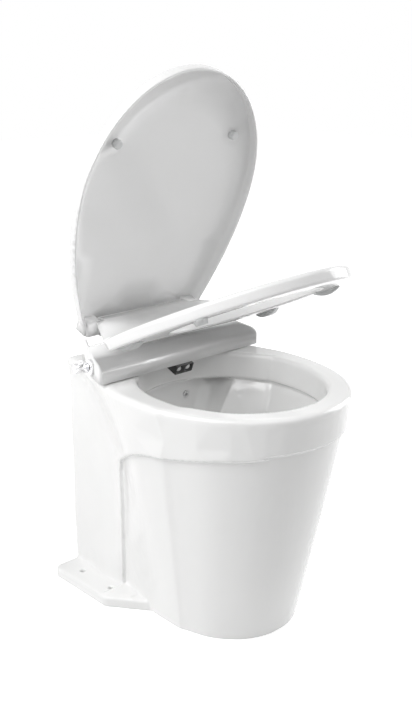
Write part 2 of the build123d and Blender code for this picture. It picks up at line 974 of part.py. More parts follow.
def wing_nut(x, top):
    nut = rod((x, seat_bolt_y, top), -upward, wing_nut_height, wing_nut_radius)
    nut += slab((x - wing_span / 2, seat_bolt_y - wing_thickness / 2, top - wing_nut_height),
                (x + wing_span / 2, seat_bolt_y + wing_thickness / 2, top - wing_thickness))
    bore = rod((x, seat_bolt_y, top + overrun), -upward, wing_nut_height + 2 * overrun,
               seat_bolt_radius + bolt_clearance)
    return nut - bore


def seat_wing_nuts():
    top = rim_height - deck_thickness - washer_thickness
    return wing_nut(-seat_bolt_x, top) + wing_nut(seat_bolt_x, top - bracket_thickness)


# Hinge dampers. The left one holds the seat, the right one holds the lid.

def damper_body(side):
    start = (side * damper_inner_x, hinge_y, hinge_z)
    way = sideways * side
    length = post_outer_x - damper_inner_x
    body = rod(start, way, length, damper_radius)
    mouth = (side * post_outer_x, hinge_y, hinge_z)
    return body - rod(mouth, -way, damper_depth + overrun, shaft_radius + running_gap)


def damper_shaft(side):
    inner = post_outer_x - damper_depth
    start = (side * inner, hinge_y, hinge_z)
    return rod(start, sideways * side, shaft_end_x - inner, shaft_radius)


# Seat, drawn closed about the hinge: forward is measured from the axis, up from its height

def closed_place():
    """Frame of the closed seat or lid: x across, y back, z up, from the hinge axis."""
    return Pos(0, hinge_y, hinge_z)


def opened(shape, angle):
    """Turn a shape drawn about the hinge axis open by an angle, and place it."""
    return closed_place() * Rot(-angle, 0, 0) * shape


def nose_points(half_width, widest, length, count=8):
    """Quarter-oval nose from the widest line to the tip, on the right side."""
    points = []
    for share in shares(count):
        angle = math.pi / 2 * share
        points.append((half_width * math.cos(angle),
                       -(widest + (length - widest) * math.sin(angle))))
    return points


def seat_plan():
    """Plan of the seat ring without its hole."""
    side = []
    for share in shares(3):
        forward_at = mix(seat_fold - 2 * overrun, seat_widest, share)
        bulge = math.sin(math.pi / 2 * forward_at / seat_widest)
        side.append((mix(seat_hinge_half_width, seat_half_width, bulge), -forward_at))
    nose = nose_points(seat_half_width, seat_widest, seat_length)
    right = side[:-1] + nose
    points = right + [(-x, y) for x, y in reversed(right[:-1])]
    curve = Spline(*points)
    return make_face([curve, Line(curve @ 1, curve @ 0)])


def seat_plate():
    """Flat ring with softened edges."""
    ring = extrude(Pos(0, 0, seat_bottom) * seat_plan(), seat_thickness)
    hole = Ellipse(seat_hole_half_width, seat_hole_half_length)
    ring -= Pos(0, -seat_hole_centre, seat_bottom) * extrude(hole, seat_thickness)
    top = ring.faces().sort_by(Axis.Z)[-1]
    low = ring.faces().sort_by(Axis.Z)[0]
    rear = -seat_fold
    round_top = top.edges().filter_by(lambda edge: edge.center().Y < rear)
    ring = fillet(round_top, seat_top_radius)
    low = ring.faces().sort_by(Axis.Z)[0]
    round_low = low.edges().filter_by(lambda edge: edge.center().Y < rear)
    return fillet(round_low, seat_low_radius)


def riser_top(forward_at):
    """Height of the riser's upper face: a line tangent to the barrel."""
    fold_up = seat_bottom + seat_thickness
    distance = math.hypot(seat_fold, fold_up)
    base_angle = math.atan2(fold_up, seat_fold)
    tangent = base_angle + math.acos(barrel_radius / distance)
    slope = -math.cos(tangent) / math.sin(tangent)
    touch = (barrel_radius * math.cos(tangent), barrel_radius * math.sin(tangent))
    return touch[1] + slope * (forward_at - touch[0])


def riser_under(forward_at):
    """Height of the riser's lower face."""
    return riser_top(forward_at) - riser_thickness / math.cos(
        math.atan2(hinge_z - fold_z, seat_fold)
    )


def riser():
    """Sloping rear part of the seat that climbs over the base to the hinge."""
    tail_at = barrel_radius / 2
    side_view = [
        (-seat_end_low, seat_bottom),
        (-seat_fold, riser_under(seat_fold)),
        (-tail_at, riser_under(tail_at)),
        (-tail_at, riser_top(tail_at)),
        (-seat_fold, riser_top(seat_fold)),
        (-seat_end_low - seat_top_radius, seat_bottom + seat_thickness),
        (-seat_end_low - seat_top_radius, seat_bottom),
    ]
    slope = prism_x(side_view, -riser_side, riser_side)
    neck = barrel_half_width
    right = [
        (riser_side, -seat_end_low - seat_top_radius),
        (riser_side, -seat_fold),
        (riser_waist, -riser_waist_at),
        (riser_neck, -riser_neck_at),
        (neck, -riser_neck_at + overrun),
        (neck, 0),
    ]
    outline = right + [(-x, y) for x, y in reversed(right)]
    plan = make_face(Polyline(outline, close=True))
    column = extrude(Pos(0, 0, seat_bottom) * plan, seat_thickness - seat_bottom)
    return slope & column


def barrel_cover():
    """Curved cover over the hinge posts, with a lug at each end."""
    width = 2 * barrel_half_width
    start = (-barrel_half_width, 0, 0)
    shell = pipe(start, sideways, width, barrel_radius, barrel_radius - barrel_wall)
    reach = 3 * barrel_radius
    rays = []
    for share in shares(6):
        angle = math.radians(mix(barrel_front_angle, barrel_rear_angle, share))
        rays.append((-reach * math.cos(angle), reach * math.sin(angle)))
    sector = prism_x([(0, 0)] + rays, -barrel_half_width, barrel_half_width)
    cover = shell & sector
    lug = rod((-barrel_half_width, 0, 0), sideways, barrel_half_width - lug_inner_x,
              barrel_radius)
    return cover + both_sides(lug)


def seat_ring():
    post_room = rod((-lug_inner_x, 0, 0), sideways, 2 * lug_inner_x,
                    barrel_radius - barrel_wall)
    whole = seat_plate() + riser()
    tail_at = barrel_radius / 2
    cut_low = (-seat_end_low, seat_bottom)
    cut_high = (-seat_fold, riser_under(seat_fold))
    cut_tail = (-tail_at, riser_under(tail_at))
    behind = prism_x([cut_low, cut_high, cut_tail, (-tail_at, seat_bottom - overrun),
                      (-seat_end_low, seat_bottom - overrun)], -seat_length, seat_length)
    whole = (whole - behind + barrel_cover()) - post_room
    left_bore = rod((-barrel_half_width - overrun, 0, 0), sideways,
                    barrel_half_width - lug_inner_x + 2 * overrun, shaft_radius + bolt_clearance)
    return opened(whole - both_sides(left_bore), seat_open_now)


def d_bumper():
    """Soft stop with a flat top and rounded ends below."""
    half = seat_bumper_length / 2
    height = seat_bumper_height
    arc = ThreePointArc((-half, 0), (0, -height), (half, 0))
    face = Plane.YZ * make_face([arc, Line(arc @ 1, arc @ 0)])
    return Pos(-seat_bumper_width / 2, 0, 0) * extrude(face, seat_bumper_width, dir=(1, 0, 0))


def seat_bumpers():
    stops = []
    places = (
        (rear_bumper_x, rear_bumper_at, rear_bumper_turn),
        (front_bumper_x, front_bumper_at, -front_bumper_turn),
    )
    for x, at, turn in places:
        stop = Pos(-x, -at, seat_bottom) * Rot(0, 0, turn) * d_bumper()
        stops.append(both_sides(stop))
    return opened(stops[0] + stops[1], seat_open_now)


# Lid, drawn with its lip's lower edge in the plane of the hinge axis

def lid_half_width_at(forward_at):
    share = math.sin(math.pi / 2 * min(forward_at / lid_widest, 1)) ** lid_side_power
    return mix(lid_hinge_half_width, lid_half_width, share)


def lid_plan(inset):
    """Egg-shaped plan of the lid, drawn in by a distance."""
    side = []
    for share in shares(8)[:-1]:
        at = lid_widest * share
        side.append((lid_half_width_at(at) - inset, -at))
    nose = nose_points(lid_half_width - inset, lid_widest, lid_length - inset)
    right = side + nose
    points = right + [(-x, y) for x, y in reversed(right[:-1])]
    curve = Spline(*points)
    tail = ear_radius
    heel_x = lid_hinge_half_width - inset
    heel = [(-heel_x, tail), (heel_x, tail)]
    lines = [curve, Line(curve @ 1, heel[0]), Line(heel[0], heel[1]), Line(heel[1], curve @ 0)]
    return make_face(lines)


def lid_top(drop):
    """Region below the crowned top, lowered by a distance."""
    wide = lid_half_width + overrun
    low = -ear_radius - overrun
    sections = []
    for forward_at, up in (
        (-ear_radius - overrun, lid_rear_depth),
        (lid_widest, mix(lid_rear_depth, lid_depth, 0.5) + lid_crown / 4),
        (lid_length + overrun, lid_depth),
    ):
        edge_up = up - drop
        arc = ThreePointArc((-wide, edge_up), (0, edge_up + lid_crown), (wide, edge_up))
        lines = [arc, Line(arc @ 1, (wide, low)), Line((wide, low), (-wide, low)),
                 Line((-wide, low), arc @ 0)]
        sections.append(Plane.XZ.offset(forward_at) * make_face(lines))
    return loft(sections)


def lid():
    height = lid_rear_depth + 2 * lid_crown
    outer = extrude(lid_plan(0), height) & lid_top(0)
    rim = outer.faces().sort_by(Axis.Z)[-1].edges().filter_by(
        lambda edge: edge.center().Y < 0
    )
    outer = fillet(rim, lid_top_radius)
    inner_plan = extrude(Pos(0, 0, -overrun) * lid_plan(lid_wall), height)
    shell = outer - (inner_plan & lid_top(lid_wall))
    ear = rod((-ear_outer_x, 0, 0), sideways, ear_outer_x - ear_inner_x, ear_radius)
    web = slab((-ear_outer_x, -ear_radius, 0),
               (-ear_inner_x, ear_radius, lid_rear_depth - lid_wall))
    body = shell + both_sides(ear + web)
    gap_x = barrel_half_width + 3 * bolt_clearance * 10
    clear = rod((-gap_x, 0, 0), sideways, 2 * gap_x, lid_barrel_gap)
    behind = slab((-gap_x, -overrun, -height), (gap_x, 2 * ear_radius, 2 * height))
    body = body - clear - behind
    bore = rod((-shaft_end_x - 3 * bolt_clearance, 0, 0), sideways,
               2 * (shaft_end_x + 3 * bolt_clearance), shaft_radius + bolt_clearance)
    return opened(body - bore, lid_open_now)


def lid_bumpers():
    inner_up = lid_bumper_seat()
    stop = Pos(-lid_bumper_x, -lid_bumper_at, inner_up - lid_bumper_height) * Cylinder(
        lid_bumper_radius, lid_bumper_height, align=FROM_BASE
    )
    low = stop.faces().sort_by(Axis.Z)[0].edges()
    return opened(both_sides(fillet(low, lid_bumper_radius / 3)), lid_open_now)


def lid_bumper_seat():
    """Lowest height of the lid's inner face over a bumper."""
    probe = rod((-lid_bumper_x, -lid_bumper_at, 0), upward, 2 * lid_rear_depth,
                lid_bumper_radius)
    return (probe - lid_top(lid_wall)).bounding_box().min.Z


# Wash nozzles, guide and springs

def nozzle_frame(side):
    """Frame at a retracted nozzle's tip; its z runs back up into the guide."""
    angle = math.radians(nozzle_angle)
    back = (0, math.cos(angle), math.sin(angle))
    origin = (side * nozzle_x, nozzle_tip_y, nozzle_tip_z)
    return Plane(origin=origin, x_dir=(1, 0, 0), z_dir=back)


def nozzle(side):
    tube = Cylinder(nozzle_radius, nozzle_length, align=FROM_BASE)
    tube = fillet(tube.faces().sort_by(Axis.Z)[0].edges(), nozzle_radius * 0.7)
    piston = Pos(0, 0, nozzle_length - piston_length) * Cylinder(
        piston_radius, piston_length, align=FROM_BASE
    )
    bore = Pos(0, 0, nozzle_hole_at) * Cylinder(nozzle_bore, nozzle_length, align=FROM_BASE)
    spray = Pos(0, -nozzle_radius, nozzle_hole_at + nozzle_bore) * Rot(-90, 0, 0) * Cylinder(
        nozzle_hole_radius, 2 * nozzle_radius, align=(Align.CENTER, Align.CENTER, Align.CENTER)
    )
    spray = spray & Pos(0, -nozzle_radius, 0) * Box(
        nozzle_length, 2 * nozzle_radius, nozzle_length
    )
    return nozzle_frame(side) * (tube + piston - bore - spray)


def nozzle_guide():
    height = 2 * guide_half_height
    block = Pos(0, 0, guide_front) * Box(2 * guide_half_width, height, guide_length,
                                         align=FROM_BASE)
    block = fillet(block.edges().filter_by(Axis.Z), guide_cap / 2)
    for x in (-nozzle_x, nozzle_x):
        collar = Pos(x, 0, guide_front - overrun) * Cylinder(
            nozzle_radius + running_gap, guide_collar + 2 * overrun, align=FROM_BASE
        )
        room_start = guide_front + guide_collar
        room = Pos(x, 0, room_start) * Cylinder(
            piston_radius + running_gap, guide_length - guide_collar - guide_cap, align=FROM_BASE
        )
        mouth = Pos(x, 0, guide_front - overrun) * Cylinder(
            guide_mouth_radius, guide_mouth_depth + overrun, align=FROM_BASE
        )
        block = block - mouth - collar - room
    for start, along, depth in guide_ports():
        block += rod(start, along, guide_port_length, guide_port_radius)
        block -= rod(start - along * depth, along, depth + guide_port_length + overrun,
                     guide_port_bore)
    return nozzle_frame(0) * block


def guide_ports():
    """Water ports in the guide's own frame: left nozzle from the side, right from the rear."""
    end = guide_front + guide_length
    water_z = end - guide_cap - guide_port_bore
    to_room = guide_half_width - nozzle_x
    return (
        (Vector(-guide_half_width, 0, water_z), -sideways, to_room),
        (Vector(nozzle_x, 0, end), upward, guide_cap + guide_port_bore),
    )


def nozzle_spring(side):
    start = guide_front + guide_collar
    height = nozzle_length - piston_length - start
    place = nozzle_frame(side).location * Pos(0, 0, start)
    return coil(spring_radius, spring_wire / 2, height, spring_turns, place)


# Wash valve on the left cheek

def port_offset(side):
    """Step from the valve's axis to one of its two outlet ports."""
    return upward.cross(valve_direction()) * (side * valve_port_step)


def valve_inner():
    """Depth of the valve body's outer end, just inside the cheek's wall."""
    return base_wall + touch_gap


def valve_port_start():
    """Root of the valve's water inlet, which points to the rear."""
    return valve_place(valve_inner() + valve_body_length / 2)


def valve_body():
    way = valve_direction()
    inner = valve_inner()
    body = rod(valve_place(inner), -way, valve_body_length, valve_body_radius)
    body += rod(valve_place(touch_gap), -way, inner + overrun, valve_neck_radius)
    body += rod(valve_port_start(), backward, valve_body_radius + valve_port_length,
                valve_port_radius)
    body -= rod(valve_place(-overrun), -way, cartridge_length + overrun,
                cartridge_radius + running_gap)
    body -= rod(valve_port_start(), backward, valve_body_radius + valve_port_length + overrun,
                valve_port_bore)
    for side in (-1, 1):
        start = valve_place(inner + valve_body_length) + port_offset(side)
        body += rod(start, -way, guide_port_length, guide_port_radius)
        body -= rod(start + way * overrun, -way, guide_port_length + 2 * overrun,
                    guide_port_bore)
    return body


def valve_escutcheon():
    """Chrome collar round the valve stem."""
    way = valve_direction()
    start = valve_place(-touch_gap)
    collar = rod(start, way, escutcheon_thickness, escutcheon_radius)
    edge = collar.faces().sort_by_distance(start + way * escutcheon_thickness)[0].edges()
    collar = fillet(edge, escutcheon_lip)
    return collar - rod(start - way, way, escutcheon_thickness + 2 * overrun,
                        cartridge_radius + bolt_clearance * 3)


def valve_lever():
    """Chrome knob with a short thumb lever."""
    way = valve_direction()
    start = valve_place(-touch_gap - escutcheon_thickness - knob_gap)
    knob = rod(start, way, knob_length, knob_radius)
    end = knob.faces().sort_by_distance(start + way * knob_length)[0].edges()
    knob = fillet(end, knob_edge_radius)
    frame = Plane(origin=start, x_dir=(0, 0, 1), z_dir=way)
    lever = frame * Pos(knob_radius, 0, knob_length / 2) * Box(
        lever_length, lever_width, lever_thickness
    )
    knob = knob + fillet(lever.edges(), lever_width / 4)
    return knob - rod(start - way * overrun, way, knob_length / 2, cartridge_radius + bolt_clearance)


def valve_cartridge():
    way = valve_direction()
    inner = cartridge_length - overrun
    outer = touch_gap + escutcheon_thickness + knob_gap + knob_length / 3
    return rod(valve_place(inner), way, inner + outer, cartridge_radius)


def nozzle_hoses():
    """Two small hoses from the valve to the guide's ports."""
    way = valve_direction()
    frame = nozzle_frame(0)
    hoses = []
    for side, (start, along, depth) in zip((1, -1), guide_ports()):
        tip = start + along * guide_port_length
        end = frame.origin + frame.x_dir * tip.X + frame.z_dir * tip.Z
        lead = frame.x_dir * along.X + frame.z_dir * along.Z
        first = valve_place(valve_inner() + valve_body_length + guide_port_length)
        first = first + port_offset(side)
        if side > 0:
            points = [first, first - way * wash_hose_bend, end + lead * 4 * wash_hose_bend]
        else:
            points = [
                first,
                first - way * wash_hose_bend / 2,
                Vector(-post_outer_x, end.Y + wash_hose_bend, first.Z + overrun),
                Vector(-guide_half_width, end.Y + wash_hose_bend / 2, end.Z),
                end + lead * 2 * wash_hose_radius,
            ]
        points.append(end)
        hoses.append(tube_along(points, wash_hose_bend / 2, wash_hose_radius, wash_hose_bore))
    return hoses[0] + hoses[1]


def supply_hose():
    """Hose from the tee, up through the deck and round to the wash valve."""
    tee_y = inlet_end_y + tee_half
    start = Vector(rinse_x, tee_y, inlet_z + tee_half + branch_length)
    run_z = base_bottom_z + tray_thickness + supply_hose_radius + overrun
    end = valve_port_start() + backward * (valve_body_radius + valve_port_length)
    low_deck = rim_height - deck_thickness
    inside = base_wall + supply_hose_gap + supply_hose_radius
    points = [
        start,
        Vector(start.X, start.Y, start.Z + supply_hose_bend),
        Vector(start.X, supply_hole_y, low_deck - supply_hose_bend / 2),
        Vector(start.X, supply_hole_y, run_z),
        Vector(-base_rear_half_width + 3 * supply_hose_bend, supply_hole_y, run_z),
        Vector(cheek_x(valley_y) + inside, valley_y, (run_z + end.Z) / 2),
        end + backward * supply_hose_bend / 2,
        end,
    ]
    return tube_along(points, supply_hose_bend / 1.2, supply_hose_radius, supply_hose_bore)


# Macerator pump and motor, on one axis along Y

def pump_point(y):
    return Vector(0, y, pump_z)


def pump_bolt_places():
    reach = pump_bolt_circle * math.sqrt(0.5)
    return [(x * reach, pump_z + z * reach) for x in (-1, 1) for z in (-1, 1)]


def bowl_outlet_gasket():
    return pipe(pump_point(bulkhead_rear_y), backward, gasket_thickness, gasket_radius,
                gasket_bore)


def housing_front():
    return bulkhead_rear_y + gasket_thickness


def housing_rear():
    return housing_front() + housing_depth


def chopper_housing():
    front = housing_front()
    body = rod(pump_point(front), backward, housing_flange_thickness, housing_flange_radius)
    body = body & slab((-flange_flat_x, front, 0),
                       (flange_flat_x, front + housing_flange_thickness, 2 * pump_z))
    body += rod(pump_point(front), backward, housing_depth, housing_radius)
    spigot_start = (0, outlet_y, pump_z)
    body += rod(spigot_start, -sideways, -spigot_end_x, spigot_radius)
    body -= rod(pump_point(front + housing_front_wall), backward, housing_depth, housing_bore)
    body -= rod(pump_point(front - overrun), backward, housing_depth, gasket_bore)
    body -= rod(spigot_start, -sideways, -spigot_end_x + overrun, spigot_bore)
    for x, z in pump_bolt_places():
        body -= rod((x, front - overrun, z), backward, housing_flange_thickness + 2 * overrun,
                    pump_hole_radius)
    return body


def pump_bolts():
    head_y = housing_front() + housing_flange_thickness
    length = head_y - bulkhead_front_y + pump_nut_height + overrun
    bolts = [
        rod((x, head_y, z), forward, length, pump_bolt_radius)
        + rod((x, head_y, z), backward, pump_bolt_head_height, pump_bolt_head_radius)
        for x, z in pump_bolt_places()
    ]
    return Compound(children=[bolt.solid() for bolt in bolts])


def pump_nuts():
    start_y = bulkhead_front_y - pump_nut_height
    nuts = []
    for x, z in pump_bolt_places():
        place = Plane(origin=(x, start_y, z), z_dir=backward)
        nut = place * extrude(RegularPolygon(pump_bolt_head_radius, 6), pump_nut_height)
        nuts.append(nut - rod((x, start_y - overrun, z), backward, pump_nut_height + 2 * overrun,
                              pump_bolt_radius + bolt_clearance))
    return Compound(children=[nut.solid() for nut in nuts])


def wear_plate():
    start = housing_front() + wear_plate_at
    plate = pipe(pump_point(start), backward, wear_plate_thickness,
                 housing_bore - bolt_clearance, wear_plate_bore)
    for number in range(wear_hole_count):
        angle = 2 * math.pi * number / wear_hole_count
        x = wear_hole_circle * math.cos(angle)
        z = pump_z + wear_hole_circle * math.sin(angle)
        plate -= rod((x, start - overrun, z), backward, wear_plate_thickness + 2 * overrun,
                     wear_hole_radius)
    return plate


def chopper_blade():
    """Two-armed knife on the shaft, in front of the wear plate."""
    start = housing_front() + blade_at
    arms = slab((-blade_length, start, pump_z - blade_width / 2),
                (blade_length, start + blade_thickness, pump_z + blade_width / 2))
    hub = rod(pump_point(start), backward, blade_thickness + overrun, impeller_hub_radius)
    blade = (arms & rod(pump_point(start), backward, blade_thickness, blade_length)) + hub
    return blade - rod(pump_point(start - overrun), backward, blade_thickness + 3 * overrun,
                       pump_shaft_radius + bolt_clearance)


def impeller():
    start = housing_front() + impeller_at
    hub = rod(pump_point(start), backward, impeller_height, impeller_hub_radius)
    disc = rod(pump_point(start + impeller_height - vane_thickness), backward, vane_thickness,
               impeller_radius)
    wheel = hub + disc
    for number in range(vane_count):
        vane = slab((0, start, -vane_thickness / 2),
                    (impeller_radius, start + impeller_height, vane_thickness / 2))
        angle = 360 * number / vane_count
        wheel += Pos(0, 0, pump_z) * Rot(0, angle, 0) * vane
    return wheel - rod(pump_point(start - overrun), backward, impeller_height + 2 * overrun,
                       pump_shaft_radius + bolt_clearance)


def pump_back_plate():
    start = housing_rear()
    plate = rod(pump_point(start), backward, back_plate_thickness, housing_radius)
    plate -= rod(pump_point(start - overrun), backward, seal_depth + overrun,
                 seal_radius + bolt_clearance)
    return plate - rod(pump_point(start), backward, back_plate_thickness + overrun,
                       pump_shaft_radius + 1.5 * overrun)


def shaft_seal():
    return pipe(pump_point(housing_rear()), backward, seal_depth, seal_radius,
                pump_shaft_radius + running_gap)


def motor_front():
    return housing_rear() + back_plate_thickness


def motor_can():
    front = motor_front()
    can = rod(pump_point(front), backward, motor_length, motor_radius)
    can -= rod(pump_point(front + motor_wall), backward, motor_length, motor_radius - motor_wall)
    seat = rod(pump_point(front + motor_wall), backward, bearing_length,
               bearing_radius + bearing_seat_wall)
    can += seat
    can -= rod(pump_point(front + motor_wall), backward, bearing_length + overrun,
               bearing_radius + bolt_clearance)
    return can - rod(pump_point(front - overrun), backward, motor_wall + 2 * overrun,
                     seal_radius)


def motor_end_cap():
    start = motor_front() + motor_length
    cap = rod(pump_point(start), backward, motor_cap_length, motor_radius)
    rim = cap.faces().sort_by(Axis.Y)[-1].edges()
    cap = fillet(rim, motor_wall)
    seat = pipe(pump_point(start - bearing_length), backward, bearing_length,
                bearing_radius + bearing_seat_wall, bearing_radius + bolt_clearance)
    return cap + seat


def motor_bearings():
    front = motor_front() + motor_wall
    rear = motor_front() + motor_length - bearing_length
    bore = pump_shaft_radius + running_gap
    rings = [pipe(pump_point(y), backward, bearing_length - touch_gap, bearing_radius, bore)
             for y in (front, rear)]
    return rings[0] + rings[1]


def motor_magnets():
    start = motor_front() + magnet_margin
    length = motor_length - 2 * magnet_margin
    ring = pipe(pump_point(start), backward, length,
                motor_radius - motor_wall - bolt_clearance, magnet_inner_radius)
    gap = slab((-magnet_half_gap, start - overrun, 0),
               (magnet_half_gap, start + length + overrun, 2 * pump_z))
    return ring - gap


def motor_shaft():
    start = housing_front() + blade_at - overrun
    end = motor_front() + motor_length - touch_gap
    return rod(pump_point(start), backward, end - start, pump_shaft_radius)


def motor_armature():
    start = motor_front() + armature_margin
    length = motor_length - 2 * armature_margin
    core = pipe(pump_point(start), backward, length, armature_radius,
                pump_shaft_radius + bolt_clearance)
    for number in range(armature_slots):
        slot = slab((armature_radius - armature_slot_depth, start - overrun,
                     -armature_slot_width / 2),
                    (armature_radius + overrun, start + length + overrun,
                     armature_slot_width / 2))
        core -= Pos(0, 0, pump_z) * Rot(0, 360 * number / armature_slots, 0) * slot
    return core


def motor_cradle():
    """Saddle under the motor, with an ear each side for the strap."""
    body = slab((-cradle_half_width, cradle_front_y, cradle_low_z),
                (cradle_half_width, cradle_rear_y, pump_z))
    ears = slab((-cradle_ear_x, cradle_front_y, cradle_ear_z - cradle_ear_thickness),
                (cradle_ear_x, cradle_rear_y, cradle_ear_z))
    body = body & slab((-cradle_half_width, cradle_front_y, 0),
                       (cradle_half_width, cradle_rear_y, cradle_ear_z))
    body = body + ears
    depth = cradle_rear_y - cradle_front_y + 2 * overrun
    body -= rod(pump_point(cradle_front_y - overrun), backward, depth,
                motor_radius + touch_gap)
    for x in (-1, 1):
        hole_x = x * (cradle_ear_x + motor_radius + strap_thickness) / 2
        body -= rod((hole_x, (cradle_front_y + cradle_rear_y) / 2, cradle_low_z), upward,
                    pump_z, strap_screw_radius)
    return body


def cradle_foot():
    return slab((-cradle_half_width + foot_inset, cradle_front_y + foot_inset, 0),
                (cradle_half_width - foot_inset, cradle_rear_y - foot_inset, cradle_low_z))


def motor_strap():
    start_y = cradle_front_y + strap_inset
    width = cradle_rear_y - cradle_front_y - 2 * strap_inset
    inner = motor_radius + touch_gap
    band = pipe(pump_point(start_y), backward, width, inner + strap_thickness, inner)
    band = band & slab((-pump_z, start_y, cradle_ear_z), (pump_z, start_y + width, 2 * pump_z))
    tabs = slab((-cradle_ear_x, start_y, cradle_ear_z),
                (cradle_ear_x, start_y + width, cradle_ear_z + strap_thickness))
    tabs -= rod(pump_point(start_y - overrun), backward, width + 2 * overrun, inner)
    for x in (-1, 1):
        hole_x = x * (cradle_ear_x + motor_radius + strap_thickness) / 2
        tabs -= rod((hole_x, start_y + width / 2, cradle_low_z), upward, pump_z,
                    strap_screw_radius)
    return band + tabs


# Waste outlet

def outlet_path():
    bend_start = Vector(spigot_end_x, outlet_y, pump_z)
    corner = Vector(spigot_end_x - elbow_bend, outlet_y, pump_z)
    end = Vector(spigot_end_x - elbow_bend, tail_end_y, pump_z)
    return [bend_start, corner, end]


def discharge_elbow():
    points = outlet_path()
    path = FilletPolyline(*points, radius=elbow_bend - touch_gap)
    frame = Plane(origin=points[0], z_dir=path.tangent_at(0))
    body = sweep(frame * (Circle(elbow_radius) - Circle(elbow_bore)), path=path)
    tail_start = Vector(points[2].X, tail_start_y, pump_z)
    tail = pipe(tail_start, backward, tail_end_y - tail_start_y, tail_radius, elbow_bore)
    collar = pipe(points[0], -sideways, foot_inset, spigot_radius, elbow_bore)
    return body + tail + collar


def joker_valve():
    """Rubber one-way valve inside the outlet, narrowing to a slit-like tip."""
    x = spigot_end_x - elbow_bend
    ring = elbow_bore - bolt_clearance
    place = Plane(origin=(x, joker_start_y, pump_z), z_dir=backward)
    outer = place * Cone(ring, joker_tip_radius, joker_length, align=FROM_BASE)
    inner = place * Cone(ring - joker_wall, joker_tip_radius - joker_wall, joker_length,
                         align=FROM_BASE)
    return outer - inner


# Electric rinse valve, hung from the right seat bolt

def valve_bracket():
    top = rim_height - deck_thickness
    tab = slab((bracket_inner_x, bracket_front_y, top - bracket_thickness),
               (bracket_outer_x, bracket_rear_y, top))
    leg = slab((bracket_inner_x, bracket_front_y, bracket_low_z),
               (bracket_inner_x + bracket_thickness, bracket_rear_y, top))
    tab -= rod((seat_bolt_x, seat_bolt_y, top - 2 * overrun), upward, 3 * overrun,
               seat_bolt_radius + plate_slot_clearance)
    middle_y = (bracket_front_y + bracket_rear_y) / 2
    window_z = (valve_block_top_z + coil_top_z) / 2
    leg -= rod((bracket_inner_x - overrun, middle_y, window_z), sideways,
               bracket_thickness + 2 * overrun, bracket_window)
    return tab + leg


def solenoid_body():
    low = (rinse_x - valve_block_x / 2, rinse_y - valve_block_y / 2, valve_block_low_z)
    high = (rinse_x + valve_block_x / 2, rinse_y + valve_block_y / 2, valve_block_top_z)
    body = fillet(slab(low, high).edges().filter_by(Axis.Z), coil_collar_height)
    body += rod((rinse_x, rinse_y, inlet_z), backward, inlet_end_y - rinse_y, inlet_radius) & slab(
        (low[0], rinse_y, valve_block_low_z), (high[0], inlet_end_y, valve_block_top_z)
    )
    body += rod((rinse_x, rinse_y, outlet_z), forward, rinse_y - outlet_end_y, outlet_radius)
    body -= rod((rinse_x, rinse_y, inlet_z), backward, inlet_end_y - rinse_y + overrun, inlet_bore)
    body -= rod((rinse_x, rinse_y, outlet_z), forward, rinse_y - outlet_end_y + overrun,
                outlet_bore)
    body -= rod((rinse_x, rinse_y, outlet_z), upward, seat_z - outlet_z, outlet_bore)
    body -= rod((rinse_x, rinse_y, seat_z), upward, valve_block_top_z, plunger_radius + running_gap)
    return body


def solenoid_coil():
    height = coil_top_z - valve_block_top_z
    start = (rinse_x, rinse_y, valve_block_top_z)
    coil_form = rod(start, upward, height, coil_radius)
    coil_form = fillet(coil_form.faces().sort_by(Axis.Z)[-1].edges(), coil_collar_height / 2)
    return coil_form - rod(start, upward, height - core_roof, plunger_radius + running_gap)


def solenoid_plunger():
    start = (rinse_x, rinse_y, seat_z)
    body = rod(start, upward, plunger_length, plunger_radius)
    return fillet(body.faces().sort_by(Axis.Z)[0].edges(), core_roof / 4)


def plunger_spring():
    start_z = seat_z + plunger_length
    height = coil_top_z - core_roof - start_z
    place = Pos(rinse_x, rinse_y, start_z)
    return coil(plunger_spring_radius, spring_wire / 2, height, plunger_spring_turns, place)


def supply_tee():
    """Water inlet: tail to the rear, one branch to the rinse valve, one up to the wash valve."""
    low = (rinse_x - tee_half, inlet_end_y, inlet_z - tee_half)
    high = (rinse_x + tee_half, tee_rear_y, inlet_z + tee_half)
    body = fillet(slab(low, high).edges().filter_by(Axis.Y), coil_collar_height)
    body += rod((rinse_x, tee_rear_y, inlet_z), backward, inlet_tail_length, inlet_tail_radius)
    tee_y = (inlet_end_y + tee_rear_y) / 2
    body += rod((rinse_x, tee_y, inlet_z + tee_half), upward, branch_length, branch_radius)
    run = tee_rear_y + inlet_tail_length - inlet_end_y + 2 * overrun
    body -= rod((rinse_x, inlet_end_y - overrun, inlet_z), backward, run, inlet_bore)
    return body - rod((rinse_x, tee_y, inlet_z), upward, tee_half + branch_length + overrun,
                      supply_hose_bore)


def rinse_jet():
    """Port through the rear wall of the basin, with a rounded nose."""
    length = jet_rear_y - jet_front_y
    body = rod((rinse_x, jet_front_y, outlet_z), backward, length, jet_radius)
    nose = body.faces().sort_by(Axis.Y)[0].edges()
    body = fillet(nose, jet_radius - jet_nose_radius)
    return body - rod((rinse_x, jet_front_y - overrun, outlet_z), backward,
                      length + 2 * overrun, outlet_bore)


def rinse_hose():
    """Short sleeve of hose over the valve's outlet and the jet's tail."""
    overlap = outlet_radius
    start_y = jet_rear_y - overlap
    end_y = outlet_end_y + overlap
    body = rod((rinse_x, start_y, outlet_z), backward, end_y - start_y, rinse_hose_radius)
    body -= rod((rinse_x, start_y - overrun, outlet_z), backward, end_y - start_y + 2 * overrun,
                outlet_radius + bolt_clearance)
    return body


# Electrical connection

def box_saddle():
    """Radius of the strap's outer face, where the terminal box stands."""
    return motor_radius + touch_gap + strap_thickness + touch_gap


def box_low_z():
    return pump_z + box_saddle()


